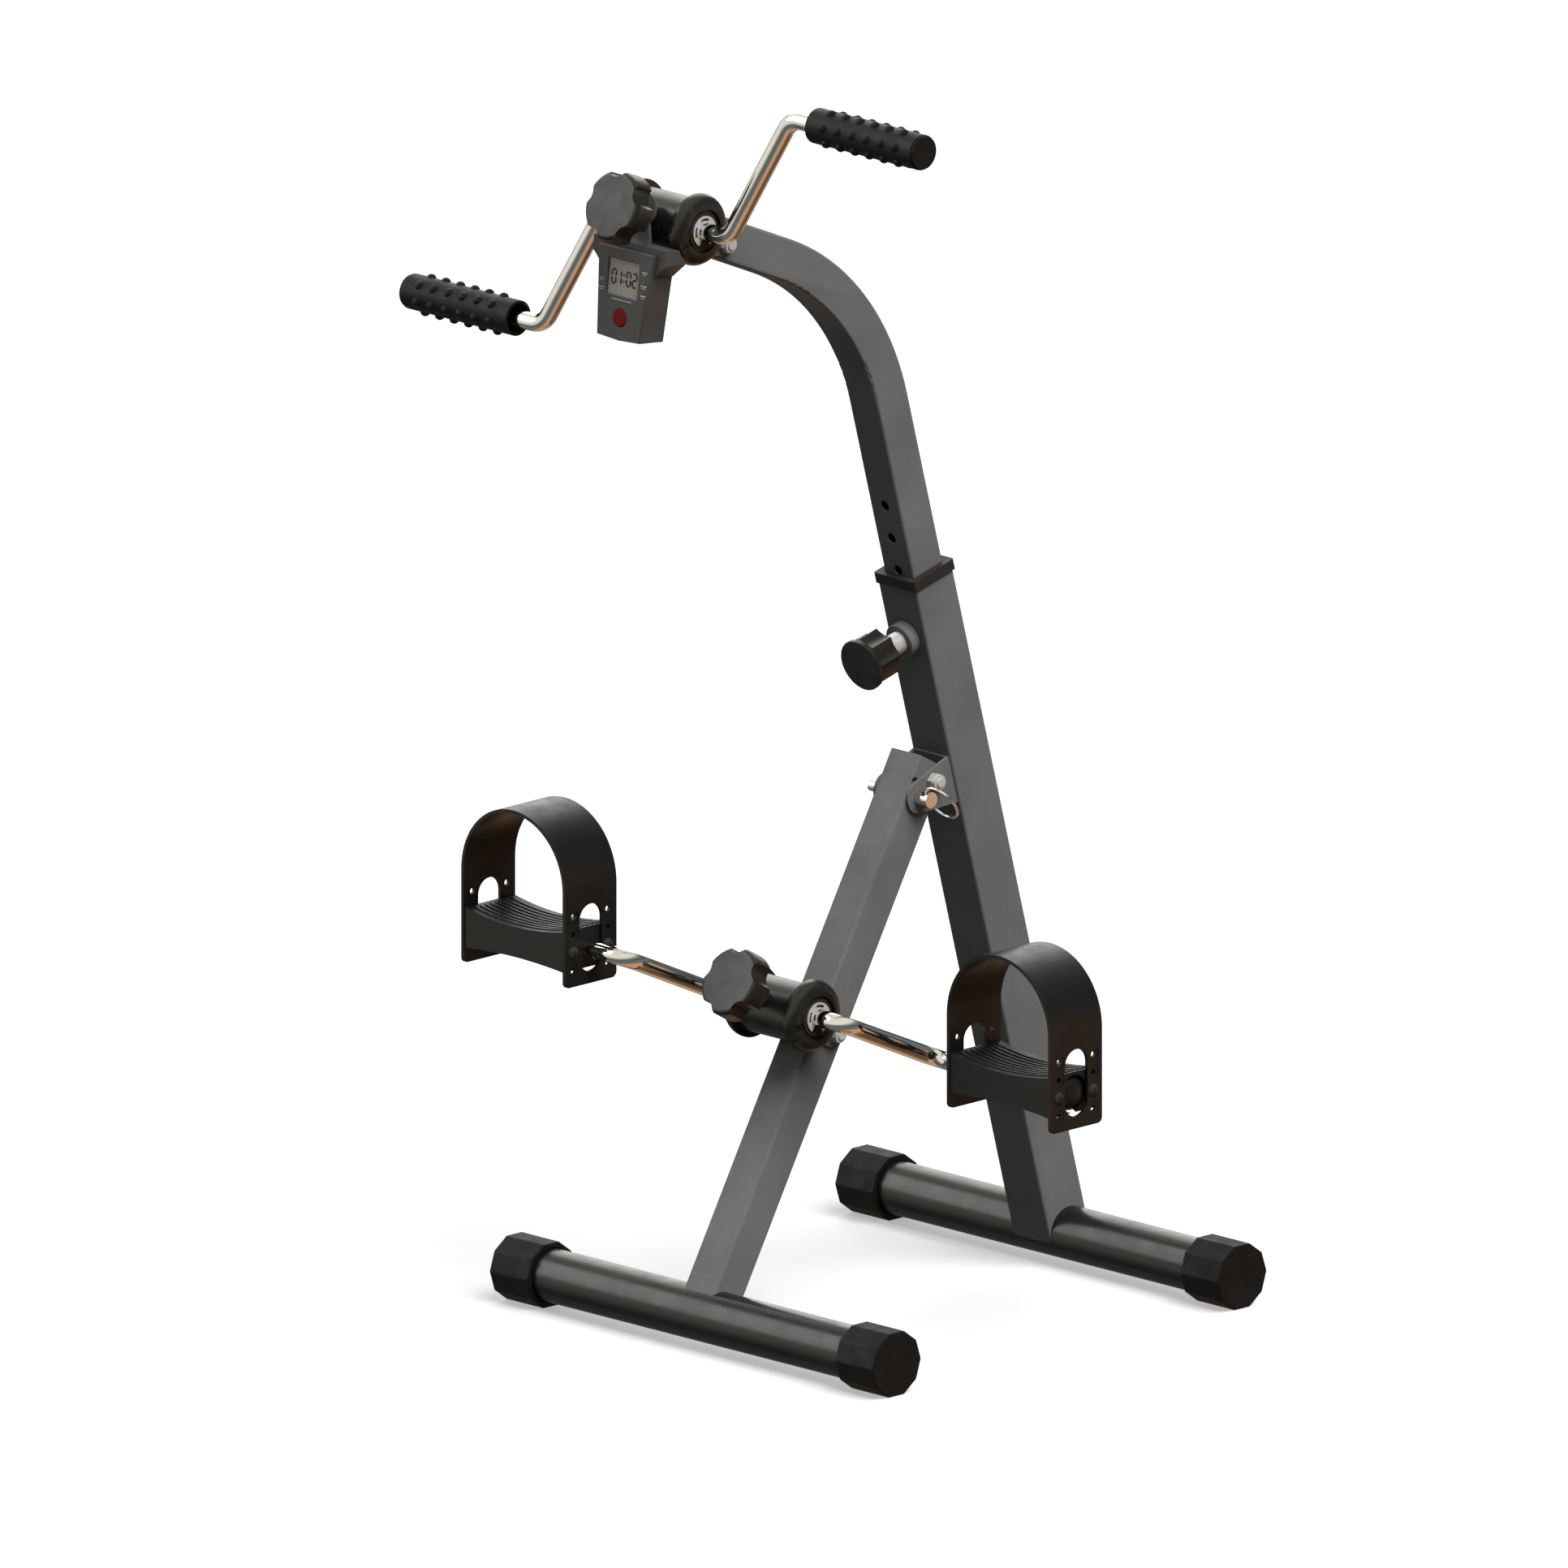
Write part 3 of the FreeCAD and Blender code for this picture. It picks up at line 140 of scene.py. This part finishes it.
def make_world():
    """A dim, even room that looks white behind the object; only mirrored rays see MIRRORED_ROOM."""
    world = bpy.data.worlds.new("studio")
    bpy.context.scene.world = world
    world.use_nodes = True
    tree = world.node_tree
    along = tree.nodes.new("ShaderNodeVectorMath")
    along.operation = "DOT_PRODUCT"
    along.inputs[1].default_value = ROOM_UP
    tree.links.new(tree.nodes.new("ShaderNodeTexCoord").outputs["Generated"], along.inputs[0])
    height = tree.nodes.new("ShaderNodeMapRange")
    height.inputs["From Min"].default_value = -1
    tree.links.new(along.outputs["Value"], height.inputs["Value"])
    ramp = tree.nodes.new("ShaderNodeValToRGB")
    tree.links.new(height.outputs["Result"], ramp.inputs["Fac"])
    stops = ramp.color_ramp.elements
    while len(stops) < len(MIRRORED_ROOM):
        stops.new(0.5)
    for stop, (at, colour) in zip(stops, MIRRORED_ROOM):
        stop.position = (at + 1) / 2
        stop.color = (*colour, 1)
    rays = tree.nodes.new("ShaderNodeLightPath")
    colour = tree.nodes.new("ShaderNodeMix")
    colour.data_type = "RGBA"
    colour.inputs["A"].default_value = (1, 1, 1, 1)
    tree.links.new(rays.outputs["Is Glossy Ray"], colour.inputs["Factor"])
    tree.links.new(ramp.outputs["Color"], colour.inputs["B"])
    strength = ROOM_LIGHT
    for ray_kind, level in (("Is Glossy Ray", MIRRORED_LIGHT), ("Is Camera Ray", 1.0)):
        mix = tree.nodes.new("ShaderNodeMix")
        if isinstance(strength, float):
            mix.inputs["A"].default_value = strength
        else:
            tree.links.new(strength, mix.inputs["A"])
        mix.inputs["B"].default_value = level
        tree.links.new(rays.outputs[ray_kind], mix.inputs["Factor"])
        strength = mix.outputs["Result"]
    tree.links.new(colour.outputs["Result"], tree.nodes["Background"].inputs["Color"])
    tree.links.new(strength, tree.nodes["Background"].inputs["Strength"])


make_camera()
softbox("key", KEY_TOWARD, KEY_STRENGTH, KEY_SPREAD).visible_glossy = False
softbox("sheen", SHEEN_TOWARD, SHEEN_STRENGTH, SHEEN_SPREAD).visible_diffuse = False
softbox("back_fill", BACK_TOWARD, BACK_STRENGTH, BACK_SPREAD)
make_world()
bpy.context.scene.view_settings.view_transform = "Standard"


# ---------------------------------------------------------------- materials
class Shader:
    """A Principled material whose colour, roughness and bump come from noise in the piece's own space."""

    def __init__(self, name):
        self.material = bpy.data.materials.new(name)
        self.material.use_nodes = True
        self.tree = self.material.node_tree
        self.shader = self.tree.nodes["Principled BSDF"]
        self.place = self.tree.nodes.new("ShaderNodeTexCoord").outputs["Object"]
        self.bump = None

    def set(self, **values):
        for socket_name, value in values.items():
            self.shader.inputs[socket_name.replace("_", " ")].default_value = value
        return self

    def stretched(self, scale):
        mapping = self.tree.nodes.new("ShaderNodeMapping")
        mapping.inputs["Scale"].default_value = scale
        self.tree.links.new(self.place, mapping.inputs["Vector"])
        return mapping.outputs["Vector"]

    def noise(self, scale, detail=3.0, stretch=None):
        node = self.tree.nodes.new("ShaderNodeTexNoise")
        node.inputs["Scale"].default_value = scale
        node.inputs["Detail"].default_value = detail
        self.tree.links.new(self.stretched(stretch) if stretch else self.place, node.inputs["Vector"])
        return node.outputs["Fac"]

    def cells(self, scale):
        node = self.tree.nodes.new("ShaderNodeTexVoronoi")
        node.inputs["Scale"].default_value = scale
        self.tree.links.new(self.place, node.inputs["Vector"])
        return node.outputs["Distance"]

    def ramp(self, value, low, high, start=0.3, end=0.7):
        node = self.tree.nodes.new("ShaderNodeMapRange")
        node.inputs["From Min"].default_value = start
        node.inputs["From Max"].default_value = end
        node.inputs["To Min"].default_value = low
        node.inputs["To Max"].default_value = high
        self.tree.links.new(value, node.inputs["Value"])
        return node.outputs["Result"]

    def colour(self, value, dark, light):
        mix = self.tree.nodes.new("ShaderNodeMix")
        mix.data_type = "RGBA"
        mix.inputs["A"].default_value = (*dark, 1)
        mix.inputs["B"].default_value = (*light, 1)
        self.tree.links.new(self.ramp(value, 0, 1), mix.inputs["Factor"])
        self.tree.links.new(mix.outputs["Result"], self.shader.inputs["Base Color"])
        return self

    def rough(self, value, low, high):
        self.tree.links.new(self.ramp(value, low, high), self.shader.inputs["Roughness"])
        return self

    def relief(self, value, depth):
        node = self.tree.nodes.new("ShaderNodeBump")
        node.inputs["Strength"].default_value = 1.0
        node.inputs["Distance"].default_value = depth
        self.tree.links.new(value, node.inputs["Height"])
        if self.bump:
            self.tree.links.new(self.bump, node.inputs["Normal"])
        self.bump = node.outputs["Normal"]
        self.tree.links.new(self.bump, self.shader.inputs["Normal"])
        return self


def tone(level, warm=0.0):
    """A grey with a slight warm cast."""
    return (level * (1 + warm), level, level * (1 - warm))


def paint(name, level, rough, coat=0.0, peel=0.00004, gloss=0.2):
    """Powder coat or gloss paint: fine orange peel, slow tone drift and a few dull patches."""
    s = Shader(name)
    s.colour(s.noise(14, 4), tone(level * 0.88), tone(level * 1.1))
    s.rough(s.noise(55, 5), rough - 0.07, rough + 0.09)
    s.relief(s.noise(900, 2), peel)
    s.relief(s.noise(2600, 1), peel * 0.4)
    s.set(Coat_Weight=coat, Coat_Roughness=0.12, Specular_IOR_Level=gloss)
    return s.material


def plastic(name, level, rough, grain=1400, depth=0.00003, warm=0.0, gloss=0.15):
    """Moulded plastic or rubber: a spark-eroded grain over faint flow marks."""
    s = Shader(name)
    s.colour(s.noise(22, 4), tone(level * 0.82, warm), tone(level * 1.18, warm))
    s.rough(s.noise(70, 4), rough - 0.08, rough + 0.08)
    s.relief(s.cells(grain), depth)
    s.relief(s.noise(grain * 2.5, 2), depth * 0.5)
    s.set(Specular_IOR_Level=gloss)
    return s.material


def metal(name, level, rough, stretch=(1, 1, 1), depth=0.000004, warm=0.02, metallic=1.0):
    """Plated or brushed metal with drawn streaks and cloudy polish."""
    s = Shader(name)
    s.colour(s.noise(30, 4), tone(level * 0.93, warm), tone(level, warm))
    s.rough(s.noise(120, 6, stretch), max(rough - 0.04, 0.03), rough + 0.07)
    s.relief(s.noise(700, 5, stretch), depth)
    s.set(Metallic=metallic)
    return s.material


def clear_lens():
    """The thin clear window over the LCD."""
    s = Shader("lens_clear")
    s.rough(s.noise(200, 3), 0.05, 0.14)
    s.relief(s.noise(60, 2), 0.00001)
    s.set(Base_Color=(0.02, 0.02, 0.02, 1), Alpha=0.1, IOR=1.45)
    s.material.surface_render_method = "BLENDED"
    return s.material


def printed(name, colour, rough=0.5, gloss=0.3, painted_glow=0.0):
    """A flat printed or moulded colour; its glow is painted light, a share of that colour given off as its
    own light.
    """
    s = Shader(name)
    s.set(Specular_IOR_Level=gloss, Emission_Color=(*colour, 1), Emission_Strength=painted_glow)
    s.colour(s.noise(300, 3), [c * 0.9 for c in colour], colour)
    s.rough(s.noise(400, 3), rough - 0.06, rough + 0.08)
    s.relief(s.noise(1500, 2), 0.00001)
    return s.material


MATERIALS = {
    "frame_paint": paint("frame_powder_coat", 0.15, 0.5),
    "base_paint": paint("base_gloss_black", 0.008, 0.33, coat=0.15, gloss=0.35),
    "cap_rubber": plastic("cap_rubber", 0.009, 0.62, grain=1100, depth=0.00006),
    "inner_plastic": plastic("inner_plastic", 0.024, 0.5, warm=0.05),
    "chrome_rod": metal("chrome_rod", 0.86, 0.06, stretch=(0.15, 1, 1), warm=0.02),
    "zinc": metal("zinc_plate", 0.62, 0.36, warm=0.01, metallic=0.3),
    "black_screw": plastic("black_screw", 0.03, 0.38),
    "pedal_plastic": plastic("pedal_plastic", 0.008, 0.5, grain=900, depth=0.00005, warm=0.04,
                             gloss=0.3),
    "strap_plastic": plastic("strap_plastic", 0.008, 0.36, grain=1500, depth=0.000025, warm=0.05,
                             gloss=0.28),
    "hub_plastic": plastic("hub_plastic", 0.009, 0.3, grain=1800, depth=0.00002, warm=0.04, gloss=0.5),
    "knob_plastic": plastic("knob_plastic", 0.009, 0.34, grain=1500, warm=0.04, gloss=0.5),
    "height_knob_plastic": plastic("height_knob_plastic", 0.009, 0.36, grain=1500, warm=0.04, gloss=0.5),
    "grip_rubber": plastic("grip_rubber", 0.008, 0.5, grain=1300, depth=0.00005, warm=0.03),
    "monitor_plastic": plastic("monitor_plastic", 0.060, 0.45, grain=1600, warm=0.01, gloss=0.4),
    "lens": clear_lens(),
    # The LCD panel's glow is painted light: it stands in for the lamp light that the case's recess keeps
    # off the panel.
    "lcd": printed("lcd_panel", (0.58, 0.53, 0.48), painted_glow=0.14),
    "board": printed("circuit_board", (0.03, 0.12, 0.05)),
    "red_button": printed("red_rubber", (0.25, 0.004, 0.004), 0.55, gloss=0.12),
}
# A lighter grey plastic for the tension knobs' flat faces: a painted reflection of the light on their
# glossy black faces.
KNOB_FACE_PAINTED_SHEEN = plastic("knob_face_painted_sheen", 0.055, 0.5, grain=1500, warm=0.015, gloss=0.35)
DIGIT_INK = printed("digit_ink", (0.012, 0.011, 0.010), 0.4)
WHITE_INK = printed("white_ink", (0.9, 0.9, 0.88), 0.5)
SLOT_OF = {row["node"]: row["material_slot"] for row in frame["record"]["subparts"]}


def dress(obj, material):
    obj.data.materials.clear()
    obj.data.materials.append(material)


for node_name, node in NODES.items():
    dress(node, MATERIALS[SLOT_OF[node_name]])


# ---------------------------------------------------------------- softened copies of sharp-edged parts
WELD_WITHIN = 2e-6
FLAT_WITHIN = math.radians(0.6)
SHARP_FROM = math.radians(32)


def softened(node_name, width):
    """A copy of a CAD part with its sharp edges rounded off by width; it stands for that part."""
    source = NODES[node_name]
    mesh = source.data.copy()
    mesh.name = node_name + "_soft"
    shape = bmesh.new()
    shape.from_mesh(mesh)
    bmesh.ops.remove_doubles(shape, verts=shape.verts, dist=WELD_WITHIN)
    bmesh.ops.dissolve_limit(shape, angle_limit=FLAT_WITHIN, verts=shape.verts, edges=shape.edges)
    shape.to_mesh(mesh)
    shape.free()
    if "custom_normal" in mesh.attributes:
        mesh.attributes.remove(mesh.attributes["custom_normal"])
    copy = link(bpy.data.objects.new(node_name + "_soft", mesh))
    bevel = copy.modifiers.new("soft_edges", "BEVEL")
    bevel.width = width
    bevel.segments = 2
    bevel.limit_method = "ANGLE"
    bevel.angle_limit = SHARP_FROM
    bevel.use_clamp_overlap = True
    bevel.harden_normals = False
    for polygon in mesh.polygons:
        polygon.use_smooth = True
    mesh.set_sharp_from_angle(angle=SHARP_FROM)
    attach(copy, source["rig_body"])
    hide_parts(node_name)
    return copy


# Each softened part and the width of its rounded edges in mm.
SOFT_EDGES = {
    "monitor_case": 0.8, "monitor_holder": 0.6, "monitor_button": 0.5, "post_collar": 0.7,
    "lower_knob": 0.9, "upper_knob": 0.9, "height_knob": 0.7, "height_boss": 0.7,
    "lower_hub_bracket": 0.8, "upper_hub_bracket": 0.8, "hinge_bracket": 0.5, "hinge_nut": 0.6,
    "hinge_bolt": 0.5, "lower_hub_nut": 0.6, "upper_hub_nut": 0.6, "lower_hub_bolt": 0.5,
    "upper_hub_bolt": 0.5, "lock_pin": 0.5, "left_pedal_block": 0.8, "right_pedal_block": 0.8,
    "left_pedal_strap": 0.5, "right_pedal_strap": 0.5, "front_left_end_cap": 1.2,
    "front_right_end_cap": 1.2, "rear_left_end_cap": 1.2, "rear_right_end_cap": 1.2,
    "left_grip_plug": 0.8, "right_grip_plug": 0.8, "left_grip": 0.6, "right_grip": 0.6,
    "lower_left_end_ring": 0.5, "lower_right_end_ring": 0.5, "upper_left_end_ring": 0.5,
    "upper_right_end_ring": 0.5, "rear_post": 0.5, "front_leg": 0.5, "mast_tube": 0.5,
}
soft_parts = {node_name: softened(node_name, width * MM) for node_name, width in SOFT_EDGES.items()}


def painted_sheen_face(knob, joint_name):
    """The flat outer face of a tension knob, given a lighter grey plastic as a painted reflection of the
    light on its glossy black face; the edge round it stays black.
    """
    outward = Vector(JOINTS[joint_name]["axis"]).normalized()
    heights = [polygon.center.dot(outward) for polygon in knob.data.polygons]
    top = max(heights)
    in_plane = 0.1 * MM
    knob.data.materials.append(KNOB_FACE_PAINTED_SHEEN)
    for polygon, height in zip(knob.data.polygons, heights):
        if height > top - in_plane:
            polygon.material_index = 1


painted_sheen_face(soft_parts["lower_knob"], "lower_knob_turn")
painted_sheen_face(soft_parts["upper_knob"], "upper_knob_turn")


# ---------------------------------------------------------------- threaded stud of the height knob
STUD_RADIUS, THREAD_DEPTH, THREAD_PITCH = 9.5 * MM, 0.75 * MM, 2.0 * MM
NOSE_LENGTH, NOSE_RADIUS, NOSE_CHAMFER = 3 * MM, 4.4 * MM, 0.6 * MM
POINTS_AROUND, RINGS_PER_TURN = 48, 8


def stud_frame():
    """The stud's axis, outward, and two directions square to it."""
    outward = Vector(JOINTS["height_stud_slide"]["axis"]).normalized()
    side = Vector((1, 0, 0))
    return outward, side, outward.cross(side)


def threaded_stud():
    """The height stud with a smooth nose and a screw thread whose pitch is the knob coupling's."""
    outward, side, up = stud_frame()
    on_axis = Vector(JOINTS["height_knob_turn"]["pos_m"])
    corners = [Vector(v.co) for v in NODES["height_stud"].data.vertices]
    along = [(corner - on_axis).dot(outward) for corner in corners]
    start, end = min(along), max(along)
    thread_start = start + NOSE_LENGTH
    steps = int((end - start - NOSE_LENGTH) / THREAD_PITCH * RINGS_PER_TURN)
    shape = bmesh.new()
    rings = []

    def ring(distance, at_angle):
        verts = []
        for n in range(POINTS_AROUND):
            angle = 2 * math.pi * n / POINTS_AROUND
            r = at_angle(angle)
            verts.append(shape.verts.new(on_axis + outward * distance + side * (r * math.cos(angle))
                                         + up * (r * math.sin(angle))))
        rings.append(verts)

    ring(start, lambda angle: NOSE_RADIUS - NOSE_CHAMFER)
    ring(start + NOSE_CHAMFER, lambda angle: NOSE_RADIUS)
    ring(thread_start, lambda angle: NOSE_RADIUS)
    ring(thread_start, lambda angle: STUD_RADIUS - THREAD_DEPTH)
    for step in range(steps + 1):
        distance = start + NOSE_LENGTH + (end - start - NOSE_LENGTH) * step / steps
        turn = distance / THREAD_PITCH

        def crest(angle):
            phase = (turn - angle / (2 * math.pi)) % 1.0
            return STUD_RADIUS - THREAD_DEPTH * abs(2 * phase - 1)

        ring(distance, crest)
    for lower, upper in zip(rings, rings[1:]):
        for n in range(POINTS_AROUND):
            m = (n + 1) % POINTS_AROUND
            shape.faces.new((lower[n], lower[m], upper[m], upper[n]))
    shape.faces.new(list(reversed(rings[0])))
    shape.faces.new(rings[-1])
    bmesh.ops.recalc_face_normals(shape, faces=shape.faces)
    mesh = bpy.data.meshes.new("threaded_stud")
    shape.to_mesh(mesh)
    shape.free()
    stud = link(bpy.data.objects.new("threaded_stud", mesh))
    for polygon in mesh.polygons:
        polygon.use_smooth = True
    mesh.set_sharp_from_angle(angle=math.radians(40))
    dress(stud, MATERIALS["zinc"])
    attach(stud, "height_stud")
    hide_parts("height_stud")


threaded_stud()

# ---------------------------------------------------------------- monitor print
# Places on the monitor's face are (x, z) in metres from its top middle; depth goes into the case.
INTO_CASE = Vector(JOINTS["monitor_button_press"]["axis"]).normalized()
FACE_UP = Vector((1, 0, 0)).cross(INTO_CASE)
lens_low, lens_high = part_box("monitor_lens")
LENS_IN_CASE = Vector((0, 0.95 * MM, -24.7 * MM))
FACE_TOP = (lens_low + lens_high) / 2 - INTO_CASE * LENS_IN_CASE.y - FACE_UP * LENS_IN_CASE.z


def on_face(x, depth, z):
    return FACE_TOP + Vector((x, 0, 0)) + INTO_CASE * depth + FACE_UP * z


def raised_print(name, outlines, depth, thick, material):
    """Flat shapes of ink on the monitor, their front at depth and thick behind it."""
    shape = bmesh.new()
    for outline in outlines:
        back = [shape.verts.new(on_face(x, depth + thick, z)) for x, z in outline]
        front = [shape.verts.new(on_face(x, depth, z)) for x, z in outline]
        shape.faces.new(front)
        shape.faces.new(list(reversed(back)))
        for n in range(len(outline)):
            m = (n + 1) % len(outline)
            shape.faces.new((back[n], back[m], front[m], front[n]))
    bmesh.ops.recalc_face_normals(shape, faces=shape.faces)
    mesh = bpy.data.meshes.new(name)
    shape.to_mesh(mesh)
    shape.free()
    piece = link(bpy.data.objects.new(name, mesh))
    dress(piece, material)
    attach(piece, "mast")
    return piece


SEGMENTS = {"0": "abcdef", "1": "bc", "2": "abged"}
DIGIT_WIDTH, DIGIT_HEIGHT, STROKE, SEGMENT_GAP = 4.6 * MM, 11.6 * MM, 1.9 * MM, 0.25 * MM


def bar_outline(x0, z0, x1, z1):
    """A segment with pointed ends from one corner of the digit to the next."""
    half = STROKE / 2
    gap = SEGMENT_GAP
    if abs(x1 - x0) > abs(z1 - z0):
        return [(x0 + gap, z0), (x0 + gap + half, z0 + half), (x1 - gap - half, z0 + half), (x1 - gap, z0),
                (x1 - gap - half, z0 - half), (x0 + gap + half, z0 - half)]
    return [(x0, z0 - gap), (x0 + half, z0 - gap - half), (x0 + half, z1 + gap + half), (x0, z1 + gap),
            (x0 - half, z1 + gap + half), (x0 - half, z0 - gap - half)]


def digit_outlines(digit, x, z):
    """The lit segments of a digit whose middle is at (x, z)."""
    left, right = x - DIGIT_WIDTH / 2, x + DIGIT_WIDTH / 2
    top, bottom = z + DIGIT_HEIGHT / 2, z - DIGIT_HEIGHT / 2
    ends = {"a": (left, top, right, top), "b": (right, top, right, z), "c": (right, z, right, bottom),
            "d": (left, bottom, right, bottom), "e": (left, z, left, bottom), "f": (left, top, left, z),
            "g": (left, z, right, z)}
    return [bar_outline(*ends[name]) for name in SEGMENTS[digit]]


def box_outline(x, z, width, height):
    return [(x - width / 2, z - height / 2), (x + width / 2, z - height / 2),
            (x + width / 2, z + height / 2), (x - width / 2, z + height / 2)]


LCD_MIDDLE = LENS_IN_CASE.z
digits = []
for digit, x in zip("0102", (-12.2, -6.0, 4.9, 11.9)):
    digits += digit_outlines(digit, x * MM, LCD_MIDDLE)
for z in (-2.6, 2.6):
    digits.append(box_outline(-0.5 * MM, LCD_MIDDLE + z * MM, 1.5 * MM, 1.7 * MM))
raised_print("lcd_digits", digits, 1.8 * MM, 0.15 * MM, DIGIT_INK)

# Plain bars where a monitor has its words: two beside each function and a row above the button, in mm.
SIDE_MARKS = ((24.5, -15.5, 6), (24.5, -27.1, 7), (24.5, -35.3, 6), (-24.3, -28.1, 6.5), (-24, -35.6, 7))
ticks = []
for x, z, width in SIDE_MARKS:
    ticks.append(box_outline(x * MM, z * MM, width * MM, 0.9 * MM))
    ticks.append(box_outline(x * MM, (z - 1.8) * MM, width * 0.6 * MM, 0.6 * MM))
for n in range(-3, 4):
    ticks.append(box_outline(n * 3.4 * MM, -43 * MM, 2.4 * MM, 1.0 * MM))
raised_print("face_ticks", ticks, -0.12 * MM, 0.11 * MM, WHITE_INK)


# ---------------------------------------------------------------- floor
def make_floor():
    """A pale floor that shows the object's shadow and is left out of mirrored and bounced light."""
    low, high = cad_box
    reach = 14.0
    below = 0.0003
    mesh = bpy.data.meshes.new("floor")
    corners = [(-reach, -reach, 0), (reach, -reach, 0), (reach, reach, 0), (-reach, reach, 0)]
    mesh.from_pydata([Vector(c) + Vector((0, 0, low[2] - below)) for c in corners], [], [(0, 1, 2, 3)])
    floor = link(bpy.data.objects.new("floor", mesh))
    s = Shader("floor_pale")
    s.colour(s.noise(2, 3), (0.49, 0.49, 0.49), (0.51, 0.51, 0.51))
    s.rough(s.noise(6, 3), 0.75, 0.85)
    s.relief(s.noise(400, 2), 0.00005)
    s.set(Emission_Color=(1, 1, 1, 1), Emission_Strength=0.42)
    dress(floor, s.material)
    floor.visible_diffuse = False
    floor.visible_glossy = False


make_floor()
